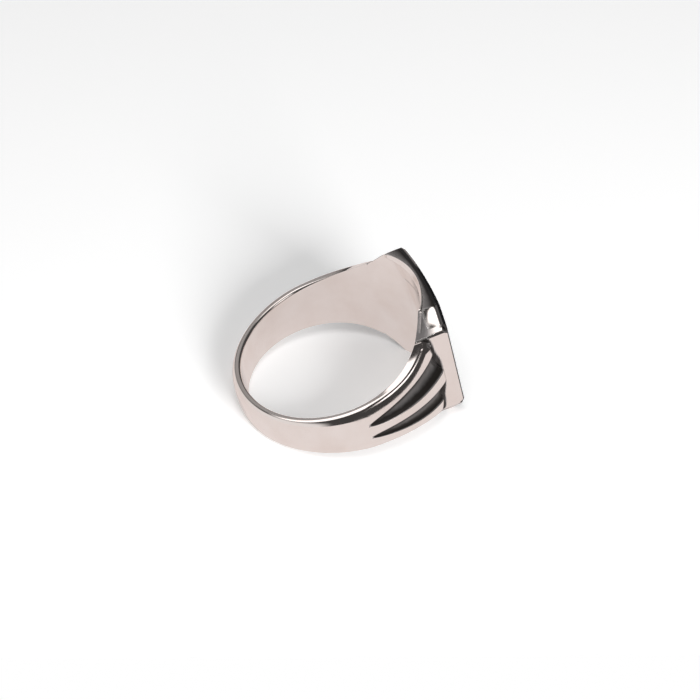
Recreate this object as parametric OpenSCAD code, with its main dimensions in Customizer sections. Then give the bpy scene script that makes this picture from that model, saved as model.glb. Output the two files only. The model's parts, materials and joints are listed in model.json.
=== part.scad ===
// Signet ring: a silver band that widens into two fluted shoulders and a cut-corner head, with
// a thin black onyx tablet running across the face. The finger hole's axis is Z, its centre is
// the origin, and the face looks along +X. All sizes are in millimetres.

/* [Finger hole] */
// Radius of the finger hole
bore_r = 9.9; // [8.8:0.1:11]
// Distance from the middle at which the rim under the head starts to open outwards
bevel_start = 6.8; // [6.4:0.05:7.1]
// How far that rim opens for each millimetre along the finger
bevel_slope = 0.45; // [0.2:0.05:0.45]

/* [Band] */
// Width of the band at the back of the finger
back_w = 4; // [3:0.1:5]
// Width of the band at the sides of the finger
side_w = 5.7; // [5:0.1:6.4]
// Thickness in the middle of the band's width at the back of the finger
back_t = 1.1; // [0.9:0.02:1.4]
// Thickness in the middle of the band's width at the sides of the finger
side_t = 1.38; // [1.2:0.02:1.6]
// Thickness of the band at its two rims
edge_t = 0.22; // [0.15:0.01:0.4]
// Squareness of the plain band's section: 2 is a half oval, larger is flatter with fuller rims
band_square = 3; // [2:0.1:4]
// Squareness of the band's section at the head
neck_square = 2.3; // [1.8:0.1:4]
// Angle from the face at which the band is joined to the shoulders
joint_angle = 100; // [97:1:110]

/* [Shoulders] */
// Thickness in the middle of the band's width where it meets the head
neck_t = 2; // [1.8:0.02:2.2]
// Angle from the face at which the flutes run out to a point
flute_tip_angle = 92.5; // [86:0.5:95]
// Distance of the flutes' points from the middle of the band
flute_tip_z = 0.82; // [0.7:0.02:1]
// How far each flute has moved outwards when it reaches the head
flute_spread = 1.08; // [0.8:0.02:1.2]
// Half the width of a flute at the head
flute_half_w = 0.95; // [0.6:0.05:1.1]
// Depth of a flute at the head
flute_depth = 0.75; // [0.3:0.05:0.9]
// Length over which the ridges round down to the head
ridge_end_l = 1; // [0.5:0.05:1.5]
// Share of their thickness that the ridges keep where they meet the head
ridge_end_share = 0.5; // [0.4:0.05:0.9]

/* [Head] */
// Length of the head across the finger
head_l = 14.1; // [13.5:0.1:14.7]
// Width along the finger of the head's two ends
head_end_w = 10.1; // [9.6:0.1:10.6]
// Width along the finger of the head just inside its cut corners
head_side_w = 14.4; // [14:0.1:15]
// Length across the finger of each cut corner
corner_l = 2; // [1.6:0.05:2.4]
// How far each long side bulges in its middle
side_bulge = 0.25; // [0.1:0.05:0.5]
// Thickness of the finger liner under the head
liner_t = 0.35; // [0.25:0.01:0.5]
// Thickness of the head's end walls
end_wall_t = 0.55; // [0.4:0.05:0.8]
// Thickness of the head's side walls
side_wall_t = 0.8; // [0.5:0.05:1.1]
// Half the length across the finger of the shallow relief inside the liner
relief_half_l = 2.6; // [2:0.1:3.2]
// Half the width along the finger of that relief
relief_half_w = 5.1; // [4:0.1:6]
// Depth of that relief
relief_depth = 0.08; // [0.04:0.01:0.14]

/* [Face] */
// Radius of the gentle curve of the face across the finger
crown_r = 68; // [45:1:120]
// Clearance between the liner and the seat plate in the middle of the head
seat_gap = 0.05; // [0.03:0.01:0.1]
// Thickness of the seat plate under the tablet
seat_t = 0.2; // [0.15:0.01:0.3]
// Thickness of the onyx tablet
tablet_t = 0.55; // [0.45:0.01:0.8]
// Height of the bevel round the tablet's open edges
tablet_bevel = 0.3; // [0.1:0.02:0.34]
// How far the tablet stands above the two end walls
tablet_proud = 0.12; // [0.04:0.01:0.2]

/* [Hidden] */
$fn = 120;

silver = "#d9d3d1";
onyx = "#1c1b1d";

// Head outline, seen from the face: Y runs across the finger and Z along it.
head_half_l = head_l / 2;
end_half = head_end_w / 2;
side_half = head_side_w / 2;
crease_y = head_half_l - corner_l;
inner_half_l = head_half_l - end_wall_t;
bulge_r = (pow(crease_y, 2) + pow(side_bulge, 2)) / (2 * side_bulge);
bulge_z = side_half + side_bulge - bulge_r;
corner_len = norm([corner_l, side_half - end_half]);
corner_ny = (side_half - end_half) / corner_len;
corner_nz = corner_l / corner_len;
corner_c = corner_ny * head_half_l + corner_nz * end_half;

// Layers of the head, counted outwards from the finger along +X.
liner_out_r = bore_r + liner_t;
face_x = liner_out_r + seat_gap + seat_t + tablet_t;
crown_x = face_x - crown_r;
above = face_x + 1.5;

// Band and shoulders: how they widen, and how finely their skins are divided.
neck_x = sqrt(pow(bore_r, 2) - pow(head_half_l, 2));
taper_power = 1.5;
widen = taper_power * (side_w - back_w) / 2;
flare_power = 3.2;
neck_flare = end_half - side_w / 2 - widen * neck_x / bore_r;
under = 0.6;
ring_steps = 44;
shoulder_steps = 36;
ridge_points = 6;
flute_points = 6;
mid_points = 2;
blend_angle = 6;
neck_square_power = 4;
flute_tip_half_w = 0.16;
flute_spread_power = 1.15;
flute_width_power = 0.55;
flute_depth_power = 0.5;
flute_round_power = 0.9;
row_crowding = 0.13;
tablet_steps = 20;

// Half the width of the band at angle a from the face.
function half_w(a) =
    let(x = bore_r * cos(a))
    x <= 0 ? back_w / 2 + (side_w - back_w) / 2 * pow(max(0, 1 + x / bore_r), taper_power)
    : min(end_half, side_w / 2 + widen * x / bore_r + neck_flare * pow(x / neck_x, flare_power));

// Thickness in the middle of the band's width at angle a from the face.
function mid_t(a) =
    let(rise = side_t - back_t, rest = neck_t - side_t - rise * neck_x / bore_r)
    back_t + rise * (1 + cos(a)) + rest * pow(max(0, bore_r * cos(a)) / neck_x, 2);

// Angle from the face at which a point at radius r reaches the outside of the head's end wall.
function wall_angle(r) = asin(head_half_l / r);

// Share of a flute's run: 0 at its point and 1 at the head.
function run(a) = max(0, min(1, (flute_tip_angle - a) / (flute_tip_angle - wall_angle(liner_out_r))));
function flute_z(a) = flute_tip_z + flute_spread * pow(run(a), flute_spread_power);
function flute_half(a) = max(flute_tip_half_w, flute_half_w * pow(run(a), flute_width_power));

// Distances from the middle of the band, from the middle to the rim, at which a section has
// its points: the central ridge, one flute and one outer ridge.
function half_stops(a, w) =
    let(f = flute_z(a), h = flute_half(a))
    concat([for (k = [1:mid_points]) (f - h) * k / mid_points],
        [for (k = [1:flute_points]) f - h * cos(180 * k / flute_points)],
        [for (k = [1:ridge_points]) f + h + (w - f - h) * sin(90 * k / ridge_points)]);

// Where a section has its points. At the joint they are spread evenly, and they move on to
// follow the flutes over the first stretch of a shoulder.
function stops(a, w) =
    let(half = half_stops(a, w), n = len(half), b = min(1, max(0, joint_angle - a) / blend_angle),
        mixed = [for (k = [0:n - 1]) half[k] * b + w * sin(90 * (k + 1) / n) * (1 - b)])
    concat([for (k = [n - 1:-1:0]) -mixed[k]], [0], mixed);

// Thickness of the plain section at distance z from the middle, half its width being w.
function dome_t(z, a, w) =
    let(n = band_square + (neck_square - band_square) * pow(run(a), neck_square_power))
    edge_t + (mid_t(a) - edge_t) * pow(max(0, 1 - pow(abs(z) / w, n)), 1 / n);

// Depth of the flutes at distance z from the middle.
function flute_cut(z, a) =
    let(u = (abs(z) - flute_z(a)) / flute_half(a))
    abs(u) >= 1 ? 0 : flute_depth * pow(run(a), flute_depth_power) * pow(cos(90 * u), flute_round_power);

// A point at distance z from the middle, thickness t above the bore and angle a from the face.
function place(z, t, a) = [(bore_r + t) * cos(a), (bore_r + t) * sin(a), z];

// A closed skin over rows of points. A row's points lie in level pairs, counted inwards from
// its two ends, and the first and the last row are closed by strips from pair to pair.
module skin(rows) {
    n = len(rows[0]);
    end = n * (len(rows) - 1);
    sides = [for (i = [0:n:end - n], j = [0:n - 1])
        let(a = i + j, b = i + (j + 1) % n)
        each [[a, b, b + n], [a, b + n, a + n]]];
    caps = [for (j = [0:floor(n / 2) - 1])
        let(k = n - 1 - j)
        each k - j > 2 ? [[j + 1, j, k], [j + 1, k, k - 1],
                [end + j, end + j + 1, end + k], [end + j + 1, end + k - 1, end + k]]
            : k - j == 2 ? [[j + 1, j, k], [end + j, end + j + 1, end + k]]
            : []];
    polyhedron([for (row = rows) each row], concat(sides, caps), convexity = 8);
}

module cylinder_of(r) {
    cylinder(r = r, h = head_side_w * 2, center = true, $fn = 180);
}

module shank() {
    rows = [for (i = [0:ring_steps])
        let(turn = joint_angle + (360 - 2 * joint_angle) * i / ring_steps,
            a = min(turn, 360 - turn), w = half_w(a))
        concat([place(-w, -under, turn)],
            [for (z = stops(a, w)) place(z, dome_t(z, a, w), turn)],
            [place(w, -under, turn)])];
    color(silver) difference() {
        skin(rows);
        cylinder_of(bore_r);
    }
}

// A point of a shoulder at share s of its length: 0 is the joint with the band and 1 lies flat
// on the end wall. Every point reaches the wall at the angle that belongs to its own radius.
function row_angle(s, r) = joint_angle + (wall_angle(r) - joint_angle) * s;
function shoulder_point(z, t, s) = place(z, t, -row_angle(s, bore_r + t));

// How much of the ridges' relief is left as they round down to the head: 1 along their run, 0
// where they meet the end wall.
function relief_left(s) =
    let(left = (1 - s) * (joint_angle - wall_angle(liner_out_r)) * PI / 180 * liner_out_r,
        d = 1 - min(1, left / ridge_end_l))
    sqrt(1 - d * d);

// Thickness of a shoulder with its flutes cut and its ridges rounded down.
function shoulder_t(z, a, w, relief) =
    let(keep = ridge_end_share + (1 - ridge_end_share) * relief)
    edge_t + (dome_t(z, a, w) - edge_t) * keep - flute_cut(z, a) * relief;

function shoulder_row(s) =
    let(a = row_angle(s, liner_out_r + 1), w = half_w(row_angle(s, bore_r + edge_t)),
        relief = relief_left(s))
    concat([shoulder_point(-w, -under, s)],
        [for (z = stops(a, w)) shoulder_point(z, shoulder_t(z, a, w, relief), s)],
        [shoulder_point(w, -under, s)]);

// The rows of a shoulder draw together towards the head, where the ridges round down.
module left_shoulder() {
    color(silver) difference() {
        skin([for (i = [0:shoulder_steps])
            let(u = i / shoulder_steps)
            shoulder_row(i == shoulder_steps ? 1 : u + row_crowding * sin(180 * u))]);
        cylinder_of(bore_r);
    }
}

module right_shoulder() {
    mirror([0, 1, 0]) left_shoulder();
}

// The head's outline, drawn in by the given amount.
module head_outline(inset) {
    foot = (corner_c - inset - corner_ny * (head_half_l - inset)) / corner_nz;
    top_y = crease_y / 2;
    top = (corner_c - inset - corner_ny * top_y) / corner_nz;
    l = head_half_l - inset;
    intersection() {
        polygon([[l, -foot], [l, foot], [top_y, top], [-top_y, top],
            [-l, foot], [-l, -foot], [-top_y, -top], [top_y, -top]]);
        translate([0, bulge_z]) circle(r = bulge_r - inset, $fn = 360);
        translate([0, -bulge_z]) circle(r = bulge_r - inset, $fn = 360);
    }
}

// A block of the head over the outline, rising to the given depth below the face.
module head_block(inset, depth) {
    intersection() {
        rotate([90, 0, 90]) linear_extrude(above) head_outline(inset);
        crown_cylinder(depth);
    }
}

// The cylinder that curves the face, drawn in by the given depth.
module crown_cylinder(depth) {
    translate([crown_x, 0, 0])
        cylinder(r = crown_r - depth, h = head_side_w * 3, center = true, $fn = 360);
}

// The space between the planes of the two end walls' inner faces.
module between_walls() {
    translate([0, -inner_half_l, -head_side_w]) cube([above + 1, 2 * inner_half_l, 2 * head_side_w]);
}

module end_wall(side) {
    color(silver) difference() {
        intersection() {
            head_block(0, tablet_proud);
            translate([0, side > 0 ? inner_half_l : -head_half_l - 1, -head_side_w])
                cube([above + 1, end_wall_t + 1, 2 * head_side_w]);
        }
        cylinder_of(bore_r);
    }
}

module left_end_wall() {
    end_wall(-1);
}

module right_end_wall() {
    end_wall(1);
}

module side_wall(side) {
    color(silver) difference() {
        intersection() {
            head_block(0, tablet_t);
            between_walls();
            translate([0, -head_l, side > 0 ? 0 : -head_side_w]) cube([above + 1, 2 * head_l, head_side_w]);
        }
        rotate([90, 0, 90]) translate([0, 0, -1]) linear_extrude(above + 2) head_outline(side_wall_t);
        cylinder_of(liner_out_r);
    }
}

module upper_side_wall() {
    side_wall(1);
}

module lower_side_wall() {
    side_wall(-1);
}

module finger_liner() {
    bevel_l = 2;
    color(silver) difference() {
        intersection() {
            rotate([90, 0, 90]) linear_extrude(above) head_outline(0);
            between_walls();
            cylinder_of(liner_out_r);
        }
        cylinder_of(bore_r);
        for (side = [0, 1]) mirror([0, 0, side]) translate([0, 0, bevel_start])
            cylinder(r1 = bore_r, r2 = bore_r + bevel_slope * bevel_l, h = bevel_l, $fn = 180);
        intersection() {
            cylinder_of(bore_r + relief_depth);
            translate([0, -relief_half_l, -relief_half_w])
                cube([above, 2 * relief_half_l, 2 * relief_half_w]);
        }
    }
}

module stone_seat() {
    color(silver) difference() {
        intersection() {
            head_block(side_wall_t, tablet_t);
            between_walls();
        }
        crown_cylinder(tablet_t + seat_t);
    }
}

// Height of the face at distance y from its middle.
function crown_at(y) = crown_x + sqrt(pow(crown_r, 2) - y * y);

// Where the inset cut corner meets the inset long side.
function crease_at(inset) =
    let(q = corner_ny / corner_nz, k = (corner_c - inset) / corner_nz - bulge_z, rho = bulge_r - inset)
    (q * k - sqrt(q * q * k * k - (1 + q * q) * (k * k - rho * rho))) / (1 + q * q);

// Height of the inset long side at distance y from its middle.
function side_z(y, inset) = bulge_z + sqrt(pow(bulge_r - inset, 2) - y * y);

// Half the tablet's outline as points, from the right end of the head to the left end.
function long_side(inset) =
    let(c = crease_at(inset), l = head_half_l - inset,
        foot = (corner_c - inset - corner_ny * l) / corner_nz)
    concat([[l, foot]],
        [for (k = [0:tablet_steps]) let(y = c - 2 * c * k / tablet_steps) [y, side_z(y, inset)]],
        [[-l, foot]]);

// The whole outline as one row of the tablet's skin, level or riding on the curve of the face.
function tablet_row(inset, rise, flat) =
    let(half = long_side(inset), n = len(half))
    [for (k = [0:2 * n - 1])
        let(p = half[k < n ? k : 2 * n - 1 - k])
        [flat ? rise : crown_at(p[0]) + rise, p[0], k < n ? p[1] : -p[1]]];

module onyx_tablet() {
    over = 0.4;
    inset = tablet_bevel + over;
    color(onyx) difference() {
        intersection() {
            skin([tablet_row(inset, above, true), tablet_row(inset, over, false),
                tablet_row(0, -tablet_bevel, false), tablet_row(0, face_x - tablet_t - 2, true)]);
            crown_cylinder(0);
            between_walls();
        }
        crown_cylinder(tablet_t);
    }
}

shank();
left_shoulder();
right_shoulder();
left_end_wall();
right_end_wall();
upper_side_wall();
lower_side_wall();
finger_liner();
stone_seat();
onyx_tablet();
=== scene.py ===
"""Dressed scene of a silver signet ring with fluted shoulders and a black onyx tablet.

The ring's frame has the finger hole along Z, its centre at the origin and the face looking along
+X. Shapes are worked out in millimetres and become metres when a mesh is made.
"""
import json
import logging
import math
from dataclasses import dataclass, field
from enum import Enum
from typing import Sequence

import bpy
import numpy as np
from mathutils import Matrix, Vector

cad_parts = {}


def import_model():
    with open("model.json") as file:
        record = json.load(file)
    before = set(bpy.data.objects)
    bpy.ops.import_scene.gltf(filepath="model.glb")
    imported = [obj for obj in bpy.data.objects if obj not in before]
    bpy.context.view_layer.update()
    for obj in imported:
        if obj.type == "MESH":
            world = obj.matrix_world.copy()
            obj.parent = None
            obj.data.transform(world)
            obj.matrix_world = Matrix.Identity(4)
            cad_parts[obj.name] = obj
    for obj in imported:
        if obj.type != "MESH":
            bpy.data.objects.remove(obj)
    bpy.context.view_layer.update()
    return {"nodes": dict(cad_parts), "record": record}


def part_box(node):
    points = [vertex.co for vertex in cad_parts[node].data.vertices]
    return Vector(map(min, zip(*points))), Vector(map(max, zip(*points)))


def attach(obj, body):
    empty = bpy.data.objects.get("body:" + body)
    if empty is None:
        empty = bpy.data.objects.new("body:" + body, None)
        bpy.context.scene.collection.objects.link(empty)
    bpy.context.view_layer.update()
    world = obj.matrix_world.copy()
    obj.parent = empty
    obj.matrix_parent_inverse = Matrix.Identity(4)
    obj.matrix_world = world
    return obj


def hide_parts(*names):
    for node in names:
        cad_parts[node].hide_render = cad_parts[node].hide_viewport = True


log = logging.getLogger("signet_ring")

MM = 0.001
BODY = "root"
WHITE = (1.0, 1.0, 1.0)
FAR = 99.0  # further from the head than any of its crevices reaches, in mm

NodeSocket = bpy.types.NodeSocket
Value = bpy.types.NodeSocket | float | tuple
Number = np.ndarray | float


class Side(Enum):
    """The two sides of the finger: left is -Y and right is +Y."""

    LEFT = -1
    RIGHT = 1


class Level(Enum):
    """The two ends of the finger hole: upper is +Z and lower is -Z."""

    UPPER = 1
    LOWER = -1


# ---------------------------------------------------------------- sizes


@dataclass(frozen=True)
class RingSizes:
    """Sizes of the ring in millimetres, read from the frame, with the fine forms named here.

    Attributes:
        bore_r: radius of the finger hole.
        head_half_l: half the head's length across the finger.
        inner_half_l: half the length between the two end walls.
        end_half: half the width of the head's ends along the finger.
        side_top: half the width of the head in its middle.
        face_x: height of the face above the finger hole's axis.
        seat_top_x: height of the seat on which the tablet lies.
        joint_angle: angle from the face at which the shoulders meet the plain band.
        back_half_w: half the band's width at the back of the finger.
        side_half_w: half its width at the finger's sides.
        back_t: its thickness in the middle of the back.
        side_t: its thickness in the middle of the sides.
        edge_t: its thickness at the rims.
        taper_power: how the band widens from its back, 1 being evenly.
        band_square: how square its section is, 2 being an ellipse.
        neck_square: the same beside the head.
        neck_t: its thickness in the middle beside the head.
        ridge_over: how far the ridges stand over the liner, where their rows are measured.
        liner_t: thickness of the liner under the head.
        corner_l: how far a cut corner reaches across the finger.
        side_bulge: how far the long sides swell in their middle.
        crown_r: radius of the face's curve.
        tablet_bevel: width of the tablet's bevel.
        tablet_proud: how far the tablet stands above the end walls.
        side_wall_t: thickness of the side walls.
    """

    bore_r: float
    head_half_l: float
    inner_half_l: float
    end_half: float
    side_top: float
    face_x: float
    seat_top_x: float
    joint_angle: float
    back_half_w: float = 2.0
    side_half_w: float = 2.85
    back_t: float = 1.1
    side_t: float = 1.38
    edge_t: float = 0.22
    taper_power: float = 1.5
    band_square: float = 3.0
    neck_square: float = 2.8
    neck_t: float = 2.0
    ridge_over: float = 1.0
    liner_t: float = 0.35
    corner_l: float = 2.0
    side_bulge: float = 0.25
    crown_r: float = 68.0
    tablet_bevel: float = 0.3
    tablet_proud: float = 0.12
    side_wall_t: float = 0.8

    @classmethod
    def from_frame(cls, record: dict) -> "RingSizes":
        """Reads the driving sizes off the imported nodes.

        Args:
            record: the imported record, whose mount gives the finger hole.

        Returns:
            The sizes of this ring.
        """
        mount = next(m for m in record["mounts"] if m["name"] == "finger_bore")
        wall_lo, wall_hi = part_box("left_end_wall")
        shoulder_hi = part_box("left_shoulder")[1]
        tablet_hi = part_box("onyx_tablet")[1]
        shank_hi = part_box("shank")[1]
        bore_r = mount["dims"]["r_mm"]
        joint = math.degrees(math.acos(shank_hi[0] / MM / bore_r))
        return cls(
            bore_r=bore_r,
            head_half_l=-wall_lo[1] / MM,
            inner_half_l=-wall_hi[1] / MM,
            end_half=shoulder_hi[2] / MM,
            side_top=tablet_hi[2] / MM,
            face_x=tablet_hi[0] / MM,
            seat_top_x=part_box("stone_seat")[1][0] / MM,
            joint_angle=round(joint, 1),
        )

    @property
    def tablet_t(self) -> float:
        """Thickness of the tablet."""
        return self.face_x - self.seat_top_x

    @property
    def side_half(self) -> float:
        """Half the head's width where its cut corners end."""
        return self.side_top - self.side_bulge

    @property
    def crease_y(self) -> float:
        """Distance from the head's middle at which its cut corners begin."""
        return self.head_half_l - self.corner_l

    @property
    def liner_out_r(self) -> float:
        """Outer radius of the liner under the head."""
        return self.bore_r + self.liner_t

    @property
    def ridge_r(self) -> float:
        """Radius at which a shoulder's rows are measured."""
        return self.liner_out_r + self.ridge_over


# ---------------------------------------------------------------- shapes


def soft_min(a: Number, b: Number, reach: float) -> np.ndarray:
    """The lower of two values, rounded off where they are closer than reach."""
    near = np.maximum(reach - np.abs(a - b), 0) / reach
    return np.minimum(a, b) - near * near * reach / 4


def smoothstep(x: Number) -> np.ndarray:
    """Rises smoothly from 0 to 1 as x does."""
    c = np.clip(x, 0, 1)
    return c * c * (3 - 2 * c)


@dataclass
class Outline:
    """The head's cut-corner outline, with Y across the finger and Z along it.

    Attributes:
        s: the ring's sizes.
        crease_round: reach of the rounding between a long side and a cut corner.
        corner_round: reach of the rounding between a cut corner and an end.
        ny: share of Y in the direction that a cut corner faces.
        nz: share of Z in it.
        c: distance of a cut corner from the head's middle in that direction.
        bulge_r: radius of the long sides.
        bulge_z: distance of their centre from the head's middle.
    """

    s: RingSizes
    crease_round: float = 0.1
    corner_round: float = 0.22
    ny: float = field(init=False)
    nz: float = field(init=False)
    c: float = field(init=False)
    bulge_r: float = field(init=False)
    bulge_z: float = field(init=False)

    def __post_init__(self) -> None:
        """Works out the outline's lines and arcs."""
        s = self.s
        run, rise = s.corner_l, s.side_half - s.end_half
        length = math.hypot(run, rise)
        self.ny, self.nz = rise / length, run / length
        self.c = self.ny * s.head_half_l + self.nz * s.end_half
        self.bulge_r = (s.crease_y**2 + s.side_bulge**2) / (2 * s.side_bulge)
        self.bulge_z = s.side_half + s.side_bulge - self.bulge_r

    def half_width(self, y: Number, inset: float = 0.0) -> np.ndarray:
        """Half the width along the finger at distance y across it.

        Args:
            y: distance from the head's middle across the finger.
            inset: how far the outline is drawn in.

        Returns:
            Half the width, the lower of the long side and the cut corner, softly joined.
        """
        y = np.abs(np.asarray(y, dtype=float))
        side = self.bulge_z + np.sqrt(np.maximum((self.bulge_r - inset) ** 2 - y * y, 0.0))
        corner = (self.c - inset - self.ny * y) / self.nz
        return soft_min(side, corner, self.crease_round)

    def reach(self, z: float) -> float:
        """How far across the finger the head reaches at distance z, its corner softly rounded."""
        return float(soft_min(self.s.head_half_l, (self.c - self.nz * z) / self.ny, self.corner_round))

    def crown(self, y: Number, depth: float = 0.0) -> np.ndarray:
        """Height of the gently curved face at distance y from its middle.

        Args:
            y: distance from the middle across the finger.
            depth: how far below the face.

        Returns:
            Distance from the finger hole's axis along +X.
        """
        y = np.asarray(y, dtype=float)
        r = self.s.crown_r
        return self.s.face_x - r + np.sqrt((r - depth) ** 2 - y * y)


@dataclass
class BandForm:
    """Width, thickness and flutes of the band as functions of the angle from the face.

    Attributes:
        s: the ring's sizes.
        flare_power: how suddenly the width flares beside the head.
        tip_angle: angle at which the flutes' points lie.
        tip_z: distance of these points from the band's middle.
        spread: how much further out the flutes lie at the head.
        spread_power: how late they move out.
        flute_half_w: half a flute's width at the head.
        point_half_w: half its width at its point.
        open_power: how late it opens.
        flute_depth: its depth at the head.
        flute_round: how hollow its floor is.
        ridge_end_l: how far before the head the ridges begin to round down.
        ridge_end_share: share of their height that is left at the head.
        ease_power: how early the shoulder's form sets in.
        crest_t: thickness of the rims beside the head.
        ledge: how far the outer ridges level out to a ledge.
        ledge_rise: how much the ledge rises away from the rim.
        ledge_in: how far inside a flute's middle it sets in, in half widths of the flute.
        ledge_over: over how many of them.
        bead_h: height of the beads where the ridges run out.
        bead_spots: each bead's distance from the upper rim, distance from the head and radius.
        neck_x: height above the finger hole's axis at which the band meets the head.
        widen: how fast the band widens at the finger's sides.
        flare: what the flare adds to half the width at the head.
    """

    s: RingSizes
    flare_power: float = 3.2
    tip_angle: float = 92.5
    tip_z: float = 0.82
    spread: float = 1.13
    spread_power: float = 1.15
    flute_half_w: float = 1.3
    point_half_w: float = 0.16
    open_power: float = 0.55
    flute_depth: float = 0.75
    flute_round: float = 0.9
    ridge_end_l: float = 1.0
    ridge_end_share: float = 0.5
    ease_power: float = 1.7
    crest_t: float = 1.08
    ledge: float = 0.55
    ledge_rise: float = 0.09
    ledge_in: float = 0.4
    ledge_over: float = 1.4
    bead_h: float = 0.2
    bead_spots: tuple = ((0.2, 0.25, 0.12), (0.5, 0.22, 0.12), (0.8, 0.25, 0.12), (0.55, 0.85, 0.2))
    neck_x: float = field(init=False)
    widen: float = field(init=False)
    flare: float = field(init=False)

    def __post_init__(self) -> None:
        """Sets the taper so that the band meets the head's ends."""
        s = self.s
        self.neck_x = math.sqrt(s.bore_r**2 - s.head_half_l**2)
        self.widen = s.taper_power * (s.side_half_w - s.back_half_w)
        self.flare = s.end_half - s.side_half_w - self.widen * self.neck_x / s.bore_r

    def half_width(self, a: float) -> float:
        """Half the band's width.

        Args:
            a: angle from the face in degrees.

        Returns:
            Half the width in mm.
        """
        s = self.s
        x = s.bore_r * math.cos(math.radians(a))
        if x <= 0:
            grown = max(0.0, 1 + x / s.bore_r) ** s.taper_power
            return s.back_half_w + (s.side_half_w - s.back_half_w) * grown
        flare = self.flare * (x / self.neck_x) ** self.flare_power
        return min(s.end_half, s.side_half_w + self.widen * x / s.bore_r + flare)

    def middle(self, a: float) -> float:
        """Thickness in the middle of the band's width.

        Args:
            a: angle from the face in degrees.

        Returns:
            The thickness in mm.
        """
        s = self.s
        x = math.cos(math.radians(a))
        neck = self.neck_x / s.bore_r
        rise = s.side_t - s.back_t
        rest = s.neck_t - s.side_t - rise * neck
        return s.back_t + rise * (1 + x) + rest * (max(0.0, x) / neck) ** 2

    def wall_angle(self, r: float) -> float:
        """Angle at which a point at radius r reaches the outside of the head's end wall."""
        return math.degrees(math.asin(self.s.head_half_l / r))

    def run(self, a: float) -> float:
        """Share of a flute's run: 0 at its point and 1 at the head."""
        end = self.wall_angle(self.s.liner_out_r)
        return max(0.0, min(1.0, (self.tip_angle - a) / (self.tip_angle - end)))

    def ease(self, a: float) -> float:
        """How far the shoulder's form has set in: 0 on the plain band and 1 at the head."""
        return 1 - (1 - self.run(a)) ** self.ease_power

    def flute(self, a: float) -> tuple[float, float]:
        """Distance of a flute's middle from the band's middle, and half its width."""
        centre = self.tip_z + self.spread * self.run(a) ** self.spread_power
        return centre, max(self.point_half_w, self.flute_half_w * self.run(a) ** self.open_power)

    def edge(self, a: float) -> float:
        """Thickness of the rims at angle a, growing towards the head."""
        return self.s.edge_t + (self.crest_t - self.s.edge_t) * self.ease(a)

    def dome(self, z: np.ndarray, a: float, w: float) -> np.ndarray:
        """Thickness of the section without its flutes, domed, with ledges at its rims.

        Args:
            z: distances from the middle.
            a: angle from the face in degrees.
            w: half the section's width.

        Returns:
            Thickness at each distance.
        """
        s = self.s
        n = s.band_square + (s.neck_square - s.band_square) * self.run(a) ** 4
        rise = np.maximum(0.0, 1 - (np.abs(z) / w) ** n) ** (1 / n)
        centre, half = self.flute(a)
        inwards = np.clip((w - np.abs(z)) / max(0.1, w - centre), 0, 1)
        ledge = self.edge(a) + self.ledge_rise * inwards
        outwards = (np.abs(z) - centre + self.ledge_in * half) / (self.ledge_over * half)
        step = self.ledge * smoothstep(outwards) * self.ease(a)
        plain = s.edge_t + (self.middle(a) - s.edge_t) * rise
        return plain * (1 - step) + ledge * step

    def beads(self, z: np.ndarray, w: float, left: float) -> np.ndarray:
        """Small round beads left where the upper ridge runs out beside the head.

        Args:
            z: distances from the middle.
            w: half the section's width.
            left: how far the section is from the head, in mm.

        Returns:
            Share of a bead's height at each distance.
        """
        out = np.zeros_like(z)
        for place, away, r in self.bead_spots:
            middle = w - place
            out = np.maximum(out, np.exp(-((z - middle) ** 2 + (left - away) ** 2) / (r * r)))
        return out

    def flute_cut(self, z: np.ndarray, a: float) -> np.ndarray:
        """Depth of the flutes.

        Args:
            z: distances from the middle.
            a: angle from the face in degrees.

        Returns:
            Depth at each distance, none on the ridges.
        """
        centre, half = self.flute(a)
        u = np.clip((np.abs(z) - centre) / half, -1, 1)
        hollow = np.cos(np.pi / 2 * u) ** self.flute_round
        return self.flute_depth * self.run(a) ** 0.5 * hollow


# ---------------------------------------------------------------- mesh helpers


@dataclass
class Grid:
    """Rows of points, every row with as many points, and one value of oxidation and painted shade for
    each.

    Attributes:
        points: an array of rows by columns by 3, in millimetres.
        tarnish_and_shade: an array of rows by columns from 0, bright, to 1, black, for oxidation in
            the hollows and painted shade on the head.
        ghosts: how many rows at each end only steer the shading.
    """

    points: np.ndarray
    tarnish_and_shade: np.ndarray
    ghosts: tuple[int, int] = (0, 0)


def mesh_object(name: str, verts: np.ndarray, faces: Sequence[Sequence[int]],
                tarnish_and_shade: np.ndarray | None = None) -> bpy.types.Object:
    """Makes a smooth-shaded mesh object from points in millimetres.

    Args:
        name: the piece's name.
        verts: points in millimetres.
        faces: corner numbers of each face.
        tarnish_and_shade: one value for each point.

    Returns:
        The object, linked to the scene.
    """
    mesh = bpy.data.meshes.new(name)
    mesh.from_pydata([tuple(v) for v in np.asarray(verts) * MM], [], [tuple(f) for f in faces])
    mesh.validate()
    mesh.polygons.foreach_set("use_smooth", [True] * len(mesh.polygons))
    if tarnish_and_shade is not None:
        layer = mesh.attributes.new("tarnish_and_shade", "FLOAT", "POINT")
        layer.data.foreach_set("value", np.asarray(tarnish_and_shade, dtype=np.float32))
    mesh.update()
    obj = bpy.data.objects.new(name, mesh)
    bpy.context.scene.collection.objects.link(obj)
    return obj


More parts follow.
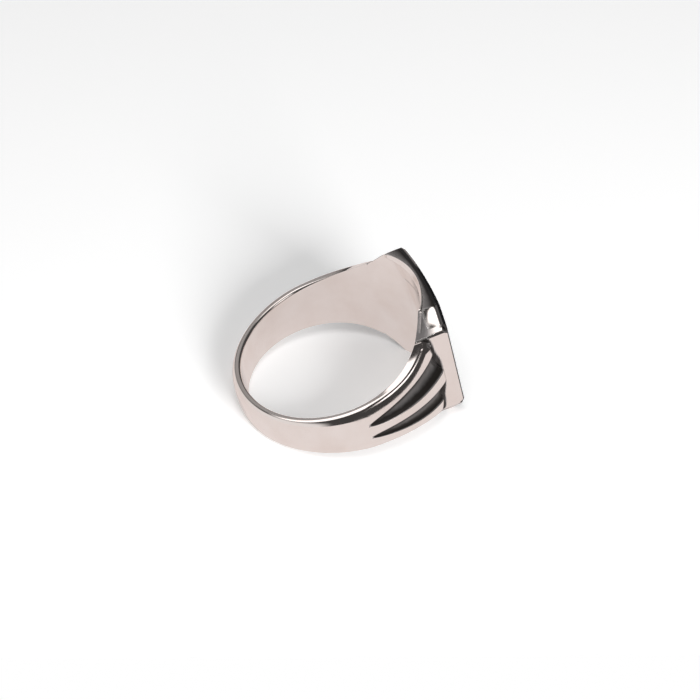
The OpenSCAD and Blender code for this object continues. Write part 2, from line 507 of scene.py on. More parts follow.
def loft(name: str, grid: Grid) -> bpy.types.Object:
    """Makes a closed piece from rows of points, each row a closed loop, capped at both ends.

    Args:
        name: the piece's name.
        grid: the rows. Ghost rows steer the normals at the ends and are then left out.

    Returns:
        The object, shaded with normals that run on across its ends.
    """
    p = grid.points
    near, far = p[:-1], p[1:]
    face = np.cross(np.roll(far, -1, axis=1) - near, far - np.roll(near, -1, axis=1))
    face = face + np.roll(face, 1, axis=1)
    normal = np.zeros_like(p)
    normal[:-1] += face
    normal[1:] += face
    lo, hi = grid.ghosts[0], len(p) - grid.ghosts[1]
    p, normal, tarnish_and_shade = p[lo:hi], normal[lo:hi], grid.tarnish_and_shade[lo:hi]
    m, n = p.shape[:2]
    faces = [(i * n + j, i * n + (j + 1) % n, (i + 1) * n + (j + 1) % n, (i + 1) * n + j)
             for i in range(m - 1) for j in range(n)]
    first = list(range(n))
    last = [(m - 1) * n + j for j in range(n)]
    caps = [first[::-1], last]
    if points_inward(p, normal):
        normal = -normal
        faces = [f[::-1] for f in faces]
        caps = [first, last[::-1]]
    obj = mesh_object(name, p.reshape(-1, 3), faces + caps, tarnish_and_shade.reshape(-1))
    set_normals(obj, normal.reshape(-1, 3), len(faces))
    return obj


def points_inward(p: np.ndarray, normal: np.ndarray) -> bool:
    """Tells whether grid normals point towards the middles of their rows."""
    away = p - p.mean(axis=1, keepdims=True)
    return bool((away * normal).sum() < 0)


def set_normals(obj: bpy.types.Object, normals: np.ndarray, smooth_faces: int) -> None:
    """Gives a piece its own point normals on its sides and flat ones on its caps.

    Args:
        obj: the piece.
        normals: one direction for each point.
        smooth_faces: how many of the first faces take them.
    """
    mesh = obj.data
    edge_of = {tuple(sorted(e.vertices)): e for e in mesh.edges}
    length = np.linalg.norm(normals, axis=1, keepdims=True)
    unit = normals / np.maximum(length, 1e-12)
    vertex = np.empty(len(mesh.loops), dtype=np.int64)
    mesh.loops.foreach_get("vertex_index", vertex)
    loops = unit[vertex]
    for cap in list(mesh.polygons)[smooth_faces:]:
        for key in cap.edge_keys:
            edge_of[tuple(sorted(key))].use_edge_sharp = True
        for k in cap.loop_indices:
            loops[k] = cap.normal
    mesh.normals_split_custom_set([tuple(v) for v in loops])


def rounded_section(corners: Sequence[tuple[float, float]], radii: Sequence[float],
                    steps: int = 4) -> np.ndarray:
    """A closed loop through corners, each rounded by its own radius.

    Args:
        corners: corner points in order.
        radii: how far from each corner its rounding starts.
        steps: points on each rounding, less one.

    Returns:
        The loop's points.
    """
    pts = np.asarray(corners, dtype=float)
    out = []
    for i, r in enumerate(radii):
        a, b, c = pts[i - 1], pts[i], pts[(i + 1) % len(pts)]
        if r <= 0:
            out.append(b)
            continue
        start = b + (a - b) / np.linalg.norm(a - b) * r
        end = b + (c - b) / np.linalg.norm(c - b) * r
        for k in range(steps + 1):
            t = k / steps
            out.append((1 - t) ** 2 * start + 2 * t * (1 - t) * b + t * t * end)
    return np.array(out)


# ---------------------------------------------------------------- finishes


class Socket(Enum):
    """Plain names for the shader's own sockets."""

    COLOUR = "Base Color"
    METAL = "Metallic"
    ROUGH = "Roughness"
    IOR = "IOR"
    SHEEN = "Specular IOR Level"
    NORMAL = "Normal"
    GLOW = "Emission Color"
    GLOW_LEVEL = "Emission Strength"


class Maths(Enum):
    """Ways to combine two values."""

    ADD = "ADD"
    MULTIPLY = "MULTIPLY"
    HIGHER = "MAXIMUM"


class Graph:
    """A short way to build a node tree."""

    def __init__(self, tree: bpy.types.NodeTree) -> None:
        """Starts with an empty tree.

        Args:
            tree: the node tree, which is cleared.
        """
        self.tree = tree
        self.tree.nodes.clear()

    def add(self, kind: str, **settings: object) -> bpy.types.Node:
        """Adds a node.

        Args:
            kind: the node's type.
            **settings: its plain settings.

        Returns:
            The node.
        """
        node = self.tree.nodes.new(kind)
        for key, value in settings.items():
            setattr(node, key, value)
        return node

    def feed(self, value: Value, target: NodeSocket) -> None:
        """Joins an output to an input, or writes a number or a colour on the input itself.

        Args:
            value: an output, a number, or a colour of three numbers.
            target: the input.
        """
        if isinstance(value, bpy.types.NodeSocket):
            self.tree.links.new(value, target)
        elif isinstance(value, tuple):
            target.default_value = (*value, 1)
        else:
            target.default_value = value

    def remap(self, value: NodeSocket, low: float, high: float, to_low: float, to_high: float,
              **settings: object) -> NodeSocket:
        """Maps a value from one range to another, held at its ends.

        Args:
            value: the value.
            low: where its range starts.
            high: where its range ends.
            to_low: what it becomes at the start.
            to_high: what it becomes at the end.
            **settings: the node's plain settings.

        Returns:
            The new value.
        """
        node = self.add("ShaderNodeMapRange", **settings)
        ends = {"From Min": low, "From Max": high, "To Min": to_low, "To Max": to_high}
        for key, number in ends.items():
            node.inputs[key].default_value = number
        self.feed(value, node.inputs["Value"])
        return node.outputs[0]

    def maths(self, operation: Maths, a: NodeSocket, b: Value, clamp: bool = True) -> NodeSocket:
        """Combines two values.

        Args:
            operation: how.
            a: the first value.
            b: the second value.
            clamp: whether the result is held between 0 and 1.

        Returns:
            The result.
        """
        node = self.add("ShaderNodeMath", operation=operation.value, use_clamp=clamp)
        self.feed(a, node.inputs[0])
        self.feed(b, node.inputs[1])
        return node.outputs[0]

    def mix(self, share: NodeSocket, under: Value, over: Value) -> NodeSocket:
        """Lays one colour over another.

        Args:
            share: how much of the upper one shows, from 0 to 1.
            under: the lower colour.
            over: the upper colour.

        Returns:
            The mixed colour.
        """
        node = self.add("ShaderNodeMix", data_type="RGBA")
        self.feed(share, node.inputs["Factor"])
        self.feed(under, node.inputs["A"])
        self.feed(over, node.inputs["B"])
        return node.outputs["Result"]

    def choose(self, share: NodeSocket, a: bpy.types.Node, b: bpy.types.Node) -> bpy.types.Node:
        """Mixes two shaders.

        Args:
            share: 0 for the first and 1 for the second.
            a: the first shader.
            b: the second shader.

        Returns:
            The mixed shader.
        """
        node = self.add("ShaderNodeMixShader")
        for k, source in enumerate((share, a.outputs[0], b.outputs[0])):
            self.feed(source, node.inputs[k])
        return node


class SurfaceNodes(Graph):
    """The nodes of a material."""

    def __init__(self, name: str) -> None:
        """Starts a material with one surface shader.

        Args:
            name: the material's name.
        """
        self.material = bpy.data.materials.new(name)
        self.material.use_nodes = True
        super().__init__(self.material.node_tree)
        self.output = self.add("ShaderNodeOutputMaterial")
        self.shader = self.add("ShaderNodeBsdfPrincipled")
        self.show(self.shader)
        self.place = self.add("ShaderNodeTexCoord").outputs["Object"]

    def show(self, shader: bpy.types.Node) -> None:
        """Makes a shader the material's surface."""
        self.feed(shader.outputs[0], self.output.inputs["Surface"])

    def put(self, socket: Socket, value: Value) -> None:
        """Gives one of the shader's own sockets its value."""
        self.feed(value, self.shader.inputs[socket.value])

    def noise(self, scale: float, detail: float = 4.0, stretch: tuple = WHITE) -> NodeSocket:
        """A noise value over the object's own coordinates.

        Args:
            scale: how many features there are in a metre.
            detail: how many finer layers it has.
            stretch: how much the coordinates are scaled along each axis.

        Returns:
            The noise value.
        """
        mapping = self.add("ShaderNodeMapping")
        mapping.inputs["Scale"].default_value = stretch
        self.feed(self.place, mapping.inputs["Vector"])
        noise = self.add("ShaderNodeTexNoise")
        noise.inputs["Scale"].default_value = scale
        noise.inputs["Detail"].default_value = detail
        self.feed(mapping.outputs[0], noise.inputs["Vector"])
        return noise.outputs["Fac"]

    def bump(self, height: NodeSocket, strength: float, distance: float,
             under: NodeSocket | None = None) -> NodeSocket:
        """Turns a height into a shading normal.

        Args:
            height: the height.
            strength: how much of it shows.
            distance: how high it is, in metres.
            under: another shading normal that it lies on.

        Returns:
            The normal.
        """
        node = self.add("ShaderNodeBump")
        node.inputs["Strength"].default_value = strength
        node.inputs["Distance"].default_value = distance
        self.feed(height, node.inputs["Height"])
        if under is not None:
            self.feed(under, node.inputs["Normal"])
        return node.outputs[0]

    def tarnish_and_shade(self) -> NodeSocket:
        """The value of oxidation and painted shade stored at the piece's points."""
        return self.add("ShaderNodeAttribute", attribute_name="tarnish_and_shade").outputs["Fac"]


@dataclass(frozen=True)
class SilverFinish:
    """Polished silver, darkened where its points say so: by oxidation in the hollows, and by painted
    shade on the head's walls and edges.

    Attributes:
        name: the material's name.
        bright: colour of the polished metal.
        warm: colour of its faintly yellowed patches.
        stain_and_shade: colour of lightly oxidised metal, also laid on as painted shade.
        black: colour of the blackened metal, also of the darkest painted shade.
        edge: how much painted shade deepens its colour where it is seen edge on.
        rough: roughness of the polish.
        hairline: strength of the fine polishing lines.
        stretch: how the polishing lines are drawn out along X, Y and Z.
    """

    name: str
    bright: tuple = (0.95, 0.93, 0.918)
    warm: tuple = (0.895, 0.85, 0.825)
    stain_and_shade: tuple = (0.275, 0.262, 0.262)
    black: tuple = (0.014, 0.012, 0.011)
    edge: float = 0.7
    rough: float = 0.1
    hairline: float = 0.05
    stretch: tuple = (1.0, 1.0, 14.0)

    def build(self) -> bpy.types.Material:
        """Makes the material.

        Returns:
            The material.
        """
        n = SurfaceNodes(self.name)
        patches = n.remap(n.noise(240, 5), 0.35, 0.7, 0.0, 1.0)
        silver = n.mix(patches, self.bright, self.warm)
        wear_and_highlight = n.remap(n.noise(1500, 3), 0.25, 0.7, 0.93, 1.0)
        dark = n.maths(Maths.MULTIPLY, n.tarnish_and_shade(), wear_and_highlight)
        # The stored value darkens the silver: oxidation in the flutes and crevices, and painted shade
        # in the crevices and on the head's walls and edges.
        stained_and_shaded = n.mix(n.remap(dark, 0.0, 0.6, 0.0, 1.0), silver, self.stain_and_shade)
        deep = n.mix(n.remap(dark, 0.5, 0.93, 0.0, 1.0), stained_and_shaded, self.black)
        facing = n.add("ShaderNodeLayerWeight").outputs["Facing"]
        # Painted shade: the colour darkens towards the stain colour where the surface is seen edge on,
        # standing in for dark reflections.
        n.put(Socket.COLOUR, n.mix(n.remap(facing, 0.78, 1.0, 0.0, self.edge), deep, self.stain_and_shade))
        n.put(Socket.METAL, n.remap(dark, 0.0, 1.0, 1.0, 0.35))
        polish = n.remap(n.noise(900, 6), 0.3, 0.75, self.rough * 0.7, self.rough * 1.5)
        n.put(Socket.ROUGH, n.maths(Maths.ADD, polish, n.maths(Maths.MULTIPLY, dark, 0.3)))
        lines = n.bump(n.noise(5200, 3, self.stretch), self.hairline, 0.00001)
        n.put(Socket.NORMAL, n.bump(n.noise(420, 2), 0.1, 0.00004, lines))
        return n.material


@dataclass(frozen=True)
class OnyxFinish:
    """Black onyx with a bright polish and very faint banding.

    Attributes:
        name: the material's name.
        deep: colour of the stone.
        band: colour of its faint bands.
        rough: roughness of the polish.
        bend: how strongly the stone bends light.
    """

    name: str
    deep: tuple = (0.004, 0.004, 0.005)
    band: tuple = (0.012, 0.011, 0.012)
    rough: float = 0.06
    bend: float = 1.54

    def build(self) -> bpy.types.Material:
        """Makes the material.

        Returns:
            The material.
        """
        n = SurfaceNodes(self.name)
        bands = n.remap(n.noise(300, 5, (1.0, 0.35, 2.2)), 0.45, 0.75, 0.0, 1.0)
        polish = n.remap(n.noise(1500, 5), 0.3, 0.7, self.rough * 0.7, self.rough * 1.6)
        n.put(Socket.COLOUR, n.mix(bands, self.deep, self.band))
        n.put(Socket.ROUGH, polish)
        n.put(Socket.IOR, self.bend)
        n.put(Socket.NORMAL, n.bump(n.noise(3800, 3), 0.03, 0.000008))
        return n.material


@dataclass(frozen=True)
class FloorFinish:
    """Plain pale floor, seen from above only, which the metal mirrors in a warmer tone.

    Attributes:
        name: the material's name.
        colour: its colour.
        mirrored: its colour in the metal.
        lift: how much paler it looks to the camera than its light makes it.
        mirrored_lift: the same in the metal.
        warmth: colour of that lift in the metal.
        rough: its roughness.
        sheen: how much it shines.
    """

    name: str
    colour: tuple = WHITE
    mirrored: tuple = (0.24, 0.217, 0.209)
    lift: float = 0.15
    mirrored_lift: float = 0.7
    warmth: tuple = (0.80, 0.717, 0.69)
    rough: float = 0.9
    sheen: float = 0.1

    def build(self) -> bpy.types.Material:
        """Makes the material, clear from below so that the ring can be seen from under it.

        Returns:
            The material.
        """
        n = SurfaceNodes(self.name)
        path = n.add("ShaderNodeLightPath")
        camera, metal = path.outputs["Is Camera Ray"], path.outputs["Is Glossy Ray"]
        grain = n.noise(60, 2)
        plain = n.mix(grain, self.colour, tuple(c * 0.995 for c in self.colour))
        warm = n.mix(grain, self.mirrored, tuple(c * 0.98 for c in self.mirrored))
        n.put(Socket.COLOUR, n.mix(metal, plain, warm))
        n.put(Socket.ROUGH, self.rough)
        n.put(Socket.SHEEN, self.sheen)
        n.put(Socket.GLOW, n.mix(metal, WHITE, self.warmth))
        seen = n.maths(Maths.MULTIPLY, camera, self.lift)
        held = n.maths(Maths.MULTIPLY, metal, self.mirrored_lift)
        n.put(Socket.GLOW_LEVEL, n.maths(Maths.ADD, seen, held))
        below = n.add("ShaderNodeNewGeometry").outputs["Backfacing"]
        n.show(n.choose(below, n.shader, n.add("ShaderNodeBsdfTransparent")))
        return n.material


# ---------------------------------------------------------------- the ring's pieces


@dataclass
class Piece:
    """A dressed piece and what it stands for.

    Attributes:
        obj: the piece's object.
        node: the CAD node that it stands for.
        slot: the record's material slot of the piece; not used.
    """

    obj: bpy.types.Object
    node: str
    slot: str

    def dress(self, finish: bpy.types.Material) -> None:
        """Gives the piece its finish and ties it to the frame.

        Args:
            finish: the material.
        """
        self.obj.data.materials.clear()
        self.obj.data.materials.append(finish)
        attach(self.obj, BODY)
        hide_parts(self.node)
        log.info("%s stands for %s", self.obj.name, self.node)


@dataclass
class Band:
    """The plain band and its two fluted shoulders.

    Attributes:
        s: the ring's sizes.
        rows: rows round the plain band.
        shoulder_rows: rows along a shoulder.
        row_crowding: how much closer its rows lie towards the head.
        mid_cols: points from the middle to a flute.
        flute_cols: points across a flute.
        ridge_cols: points across an outer ridge.
        inner_cols: points across the inside.
        rim_fillet: how far the plain band's outer rounding reaches at its rims.
        shoulder_fillet: how far it reaches at the head.
        rim_share: share of a rim's thickness under its outer rounding.
        comfort: how far the rims are eased inside the finger hole.
        steepest: the latest turn, in radians, at which a rounding starts.
        wear_and_highlight: how much oxidation is taken off along a flute's middle, as rubbed wear and
            as a painted highlight.
        wear_and_highlight_w: how wide it is taken off, in half widths of the flute.
        flute_edge: how soft a flute's dark edge is, in the same measure.
        crevice: how dark the crevice along the head is, with oxidation and painted shade.
        crevice_l: how far it reaches from the head at the band's middle.
        crevice_more: how much further it reaches outside.
        form: the band's form.
    """

    s: RingSizes
    rows: int = 110
    shoulder_rows: int = 130
    row_crowding: float = 0.13
    mid_cols: int = 6
    flute_cols: int = 16
    ridge_cols: int = 28
    inner_cols: int = 10
    rim_fillet: float = 0.06
    shoulder_fillet: float = 0.36
    rim_share: float = 0.55
    comfort: float = 0.3
    steepest: float = 1.2
    wear_and_highlight: float = 0.24
    wear_and_highlight_w: float = 0.38
    flute_edge: float = 0.1
    crevice: float = 0.9
    crevice_l: float = 0.3
    crevice_more: float = 0.4
    form: BandForm = field(init=False)

    def __post_init__(self) -> None:
        """Works out the band's form."""
        self.form = BandForm(self.s)

    def stops(self, a: float, w: float) -> np.ndarray:
        """Distances from the middle, rim to rim, at which a section has its points.

        Args:
            a: angle from the face in degrees.
            w: half the section's width.

        Returns:
            The distances, closer at the flutes' edges and at the rims.
        """
        centre, half = self.form.flute(a)
        mid = (centre - half) * np.arange(0, self.mid_cols) / self.mid_cols
        flute = centre - half * np.cos(np.pi * np.arange(0, self.flute_cols) / self.flute_cols)
        rim = w - self.fillet(a)
        turn = np.sin(np.pi / 2 * np.arange(0, self.ridge_cols + 1) / self.ridge_cols)
        ridge = centre + half + (rim - centre - half) * turn
        side = np.concatenate([mid, flute, ridge])
        return np.concatenate([-side[:0:-1], side])

    def fillet(self, a: float) -> float:
        """How far the rims' outer rounding reaches at angle a."""
        return self.rim_fillet + (self.shoulder_fillet - self.rim_fillet) * self.form.ease(a)

    def section(self, a: float, w: float, relief: float, left: float = FAR
                ) -> tuple[np.ndarray, np.ndarray]:
        """One closed section: distance from the middle, thickness, and its oxidation and painted
        shade.

        Args:
            a: angle from the face in degrees.
            w: half the section's width.
            relief: how much of the ridges' relief is left, from 0 to 1.
            left: how far the section is from the head, in mm.

        Returns:
            Points as [distance, thickness], and a value of oxidation and painted shade for each.
        """
        z = self.stops(a, w)
        f, edge = self.form, self.s.edge_t
        keep = f.ridge_end_share + (1 - f.ridge_end_share) * relief
        plain = edge + (f.dome(z, a, w) - edge) * keep
        t = plain - f.flute_cut(z, a) * relief + f.bead_h * f.beads(z, w, left)
        outer = np.stack([z, t], axis=1)
        slope = float((outer[-2, 1] - outer[-1, 1]) / (outer[-1, 0] - outer[-2, 0]))
        rim = self.rim(w, outer[-1, 1], slope, self.fillet(a), f.run(a))
        back = rim[::-1] * np.array([-1, 1])
        inner_z = np.linspace(rim[-1, 0], back[0, 0], self.inner_cols + 2)[1:-1]
        inner = np.stack([inner_z, np.zeros_like(inner_z)], axis=1)
        loop = np.concatenate([outer, rim, inner, back])
        dark = self.tarnish_and_shade(z, a, w, left)
        return loop, np.concatenate([dark, np.zeros(len(loop) - len(dark))])

    def rim(self, w: float, top: float, slope: float, fillet: float, run: float) -> np.ndarray:
        """The rim from the outside down to the finger hole.

        Args:
            w: half the section's width.
            top: thickness at the rim.
            slope: how steeply the section falls where the outer rounding starts.
            fillet: how far the outer rounding reaches.
            run: share of the flutes' run, 0 on the plain band, where the rim is eased for comfort.

        Returns:
            Points as [distance, thickness].
        """
        soft = self.comfort + (self.rim_fillet - self.comfort) * min(1.0, 2 * run)
        upper = self.rim_share * top
        lower = min(0.9 * upper, soft)
        start = self.arc_start(slope * fillet / (top - upper))
        turn = np.linspace(start, np.pi / 2, 12)[1:]
        along = (np.sin(turn) - math.sin(start)) / (1 - math.sin(start))
        down = 1 - np.cos(turn) / math.cos(start)
        outer = np.stack([w - fillet + fillet * along, top - (top - upper) * down], axis=1)
        flat = np.array([[w, upper + (lower - upper) * k] for k in (0.3, 0.7, 1.0)])
        arc = np.linspace(0, np.pi / 2, 8)[1:]
        inner = np.stack([w - soft * (1 - np.cos(arc)), lower * (1 - np.sin(arc))], axis=1)
        return np.concatenate([outer, flat, inner])

    def arc_start(self, slope: float) -> float:
        """The turn at which a rounding starts, so that it runs on from what lies before it.

        Args:
            slope: how steeply that falls, measured against the rounding.

        Returns:
            The turn in radians.
        """
        turns = np.linspace(0, self.steepest, 40)
        slopes = (1 - np.sin(turns)) * np.tan(turns) / np.cos(turns)
        return float(np.interp(slope, slopes, turns))

    def tarnish_and_shade(self, z: np.ndarray, a: float, w: float, left: float) -> np.ndarray:
        """Oxidation left in the flutes, less along their middles as wear and painted highlight, and
        oxidation with painted shade in the crevice along the head.

        Args:
            z: distances from the middle.
            a: angle from the face in degrees.
            w: half the section's width.
            left: how far the section is from the head, in mm.

        Returns:
            Darkness at each distance, less where the small round beads are polished.
        """
        centre, half = self.form.flute(a)
        run = self.form.run(a)
        across = (np.abs(z) - centre) / half
        dark = smoothstep((1.0 - np.abs(across)) / self.flute_edge) * smoothstep(run / 0.03)
        # Painted highlight together with wear: a lighter grey streak along each flute's middle.
        wear_and_highlight = self.wear_and_highlight * np.exp(-((across / self.wear_and_highlight_w) ** 2)) * smoothstep(run / 0.5)
        outside = smoothstep((np.abs(z) - centre + half) / 0.6)
        reach = self.crevice_l + self.crevice_more * outside
        # Oxidation and painted shade darken the crevice beside the head.
        crevice = self.crevice * smoothstep((reach - left) / 0.15)
        shine = self.form.beads(z, w, left) ** 2
        return np.maximum(dark - wear_and_highlight, crevice) * (1 - shine)

    def place(self, loop: np.ndarray, turn: Number) -> np.ndarray:
        """Turns a section's points into space.

        Args:
            loop: points as [distance, thickness].
            turn: the section's angle from the face in degrees, or one for each point.

        Returns:
            Points as [x, y, z].
        """
        r = self.s.bore_r + loop[:, 1]
        turn = np.radians(turn)
        return np.stack([r * np.cos(turn), r * np.sin(turn), loop[:, 0]], axis=1)

    def shank(self) -> Piece:
        """The plain band round the back of the finger.

        Returns:
            The piece.
        """
        joint = self.s.joint_angle
        step = (360 - 2 * joint) / self.rows
        points, tarnish_and_shade = [], []
        for i in range(-1, self.rows + 2):
            turn = joint + step * i
            a = min(turn, 360 - turn)
            loop, dark = self.section(a, self.form.half_width(a), 1.0)
            points.append(self.place(loop, turn))
            tarnish_and_shade.append(dark)
        grid = Grid(np.array(points), np.array(tarnish_and_shade), (1, 1))
        return Piece(loft("band_plain", grid), "shank", "polished_silver")

    def row_angle(self, share: float, r: Number) -> np.ndarray:
        """Angle from the face of a row's points, which reach the wall at their own radius."""
        end = np.degrees(np.arcsin(self.s.head_half_l / np.asarray(r)))
        return self.s.joint_angle + (end - self.s.joint_angle) * share

    def way_left(self, share: float) -> float:
        """How far a row is from the head, in mm."""
        r = self.s.liner_out_r
        return (1 - share) * math.radians(self.s.joint_angle - self.form.wall_angle(r)) * r

    def relief_left(self, share: float) -> float:
        """How much relief is left near the head, where the ridges round down."""
        d = 1 - max(0.0, min(1.0, self.way_left(share) / self.form.ridge_end_l))
        return math.sqrt(1 - d * d)

    def shoulder(self, side: Side) -> Piece:
        """A fluted shoulder, from its joint with the band to the head's end wall.

        Args:
            side: which side of the finger.

        Returns:
            The piece.
        """
        s, last = self.s, self.shoulder_rows
        points, tarnish_and_shade = [], []
        for i in range(-1, last + 1):
            u = i / last
            share = 1.0 if i == last else u + self.row_crowding * math.sin(math.pi * u)
            a = float(self.row_angle(share, s.ridge_r))
            w = self.form.half_width(float(self.row_angle(share, s.bore_r + s.edge_t)))
            loop, dark = self.section(a, w, self.relief_left(share), self.way_left(share))
            turn = self.row_angle(share, s.bore_r + loop[:, 1])
            points.append(self.place(loop, side.value * turn))
            tarnish_and_shade.append(dark)
        grid = Grid(np.array(points), np.array(tarnish_and_shade), (1, 0))
        name = side.name.lower()
        return Piece(loft(f"{name}_shoulder_fluted", grid), f"{name}_shoulder", "antiqued_silver")


@dataclass
class Head:
    """The head: its end walls, side walls, liner and tablet.

    Attributes:
        s: the ring's sizes.
        outline: the head's outline.
        form: the band's form, whose ridges meet the end walls.
        crisp: rounding of the edges that meet another piece.
        top_round: rounding of the end walls' top edges.
        top_corner: rounding of the end walls' top corners, seen from the end.
        top_fall: how far that rounding falls, in its radii.
        thinnest: least thickness of the end walls' tips.
        top_painted_shade: painted shade along the end walls' top edges, under the tablet's proud edge.
        top_painted_shade_h: how far down it reaches.
        tip_painted_shade: painted shade on their tips, and what is taken off towards the tablet.
        bore_near: how near the finger hole's wall a point is bright as the hole is.
        foot_oxide_and_shade: oxidation and painted shade at the end walls' feet.
        foot_reach: how far above the shoulder it reaches.
        end_rows: sections along an end wall between its tips.
        tip_rows: sections along each of its tips.
        wall_rows: points up a side wall.
        cushion_h: how far the cut corners' faces swell.
        side_painted_shade: painted shade at a long side's foot, and what is added towards the tablet.
        border_painted_shade: painted shade outlining a cut corner's face, and what is added towards
            the tablet.
        border_at: where that border starts, from 0 in the middle to 1 at its edge.
        grey_painted_shade: painted grey shade on the lower part of a cut corner.
        grey_at: how high up the corner it reaches.
        grey_lean: how much higher it reaches towards the end wall.
        relief_half_l: half the length of the relief inside the liner.
        relief_half_w: half its width.
        relief_depth: its depth.
        relief_soft: how soft its edges are.
        rim_open_at: distance along the finger at which the liner's rims open.
        rim_slope: how fast they open.
        liner_rows: sections round the liner.
        liner_edge: share of its width at which its points come closer.
        liner_painted_shade: painted shade on its rims beside the cut corners.
        tablet_foot: rounding of the tablet's lower edges.
        tablet_edge: rounding of its other edges.
    """

    s: RingSizes
    outline: Outline
    form: BandForm
    crisp: float = 0.004
    top_round: float = 0.2
    top_corner: float = 0.45
    top_fall: float = 0.8
    thinnest: float = 0.02
    top_painted_shade: float = 0.85
    top_painted_shade_h: float = 0.12
    tip_painted_shade: tuple = (0.75, 0.7)
    bore_near: float = 0.0015
    foot_oxide_and_shade: float = 0.95
    foot_reach: float = 0.58
    end_rows: int = 60
    tip_rows: int = 14
    wall_rows: int = 16
    cushion_h: float = 0.07
    side_painted_shade: tuple = (0.56, 0.42)
    border_painted_shade: tuple = (0.5, 0.45)
    border_at: float = 0.86
    grey_painted_shade: float = 0.7
    grey_at: float = 0.36
    grey_lean: float = 0.2
    relief_half_l: float = 2.6
    relief_half_w: float = 5.1
    relief_depth: float = 0.08
    relief_soft: float = 0.12
    rim_open_at: float = 6.8
    rim_slope: float = 0.45
    liner_rows: int = 180
    liner_edge: float = 0.88
    liner_painted_shade: float = 0.6
    tablet_foot: float = 0.02
    tablet_edge: float = 0.03

    def end_wall(self, side: Side) -> Piece:
        """A flat end wall with softened edges, from the finger hole up to the tablet's edge.

        Args:
            side: which side of the finger.

        Returns:
            The piece.
        """
        s, o = self.s, self.outline
        tip = float(o.half_width(s.inner_half_l))
        lower = np.linspace(-tip, -s.end_half, self.tip_rows)
        middle = np.linspace(-s.end_half, s.end_half, self.end_rows)[1:-1]
        upper = np.linspace(s.end_half, tip, self.tip_rows)
        points, tarnish_and_shade = [], []
        for z in np.concatenate([lower, middle, upper]):
            out = o.reach(abs(z))
            inner = min(s.inner_half_l, out - self.thinnest)
            loop = self.wall_loop(inner, out, self.corner_drop(abs(z)))
            points.append([(x, side.value * y, z) for x, y in loop])
            tarnish_and_shade.append(self.end_wall_shade_and_oxide(loop, float(z)))
        name = side.name.lower()
        grid = Grid(np.array(points), np.array(tarnish_and_shade))
        return Piece(loft(f"{name}_end_plate", grid), f"{name}_end_wall", "polished_silver")

    def end_wall_shade_and_oxide(self, loop: np.ndarray, z: float) -> np.ndarray:
        """Painted shade on an end wall's tips and top edge, and oxidation with painted shade at its
        foot.

        Args:
            loop: the section's points as [x, y].
            z: the section's distance along the finger.

        Returns:
            Darkness at each point, none in the finger hole.
        """
        s, x = self.s, loop[:, 0]
        past = float(smoothstep((abs(z) - s.end_half - 0.05) / 0.15))
        up = (x - x.min()) / np.ptp(x)
        # Painted shade on the tips beside the cut corners, lighter towards the tablet.
        tips = past * (self.tip_painted_shade[0] - self.tip_painted_shade[1] * smoothstep(up * 1.6 - 0.4))
        dark = np.maximum(tips, self.foot_oxide_and_shade_mask(loop, z))
        # Painted shade along the top edge, under the tablet's proud edge.
        dark = np.where(x > x.max() - self.top_painted_shade_h, self.top_painted_shade, dark)
        return np.where(np.hypot(x, loop[:, 1]) < s.bore_r + self.bore_near, 0.0, dark)

    def foot_oxide_and_shade_mask(self, loop: np.ndarray, z: float) -> np.ndarray:
        """Oxidation and painted shade at the foot of an end wall, in the crevice along the shoulder's
        end.

        Args:
            loop: the section's points as [x, y].
            z: the section's distance along the finger.

        Returns:
            Darkness at each point.
        """
        s, f = self.s, self.form
        if abs(z) > s.end_half:
            return np.zeros(len(loop))
        dome = float(f.dome(np.array([z]), f.wall_angle(s.ridge_r), s.end_half)[0])
        height = (dome - s.edge_t) * f.ridge_end_share
        over = np.hypot(loop[:, 0], loop[:, 1]) - s.bore_r - s.edge_t - height
        # Oxidation and painted shade: a dark line at the wall's foot, in the crevice.
        return self.foot_oxide_and_shade * smoothstep((self.foot_reach - over) / 0.12)

    def corner_drop(self, z: float) -> float:
        """How far an end wall's top is rounded down at distance z along the finger."""
        past = max(0.0, z - (self.s.end_half - self.top_corner)) / self.top_corner
        return self.top_corner * (1 - math.sqrt(max(0.0, 1 - min(1.0, past) ** 2))) * self.top_fall

    def wall_loop(self, inner: float, out: float, drop: float) -> np.ndarray:
        """Section of an end wall as points [x, y] between two distances across the finger.

        Args:
            inner: distance of its inner face.
            out: distance of its outer face.
            drop: how far its top lies below its full height, where its corners are rounded.

        Returns:
            The section's points, crisp at the finger hole and rounded along the top.
        """
        s, o = self.s, self.outline
        low = [(math.sqrt(s.bore_r**2 - y * y), y) for y in np.linspace(inner, out, 8)]
        foot, top = low[-1][0], float(o.crown(out, s.tablet_proud)) - drop
        face = [(foot + (top - foot) * k, out) for k in np.linspace(0, 0.9, 34)[1:] ** 1.4]
        high = [(float(o.crown(y, s.tablet_proud)) - drop, y) for y in np.linspace(out, inner, 3)]
        e = min(self.top_round, (out - inner) * 0.6)
        radii = [self.crisp] + [0] * 6 + [self.crisp] + [0] * len(face) + [e, 0, self.crisp]
        return rounded_section(low + face + high, radii, 5)

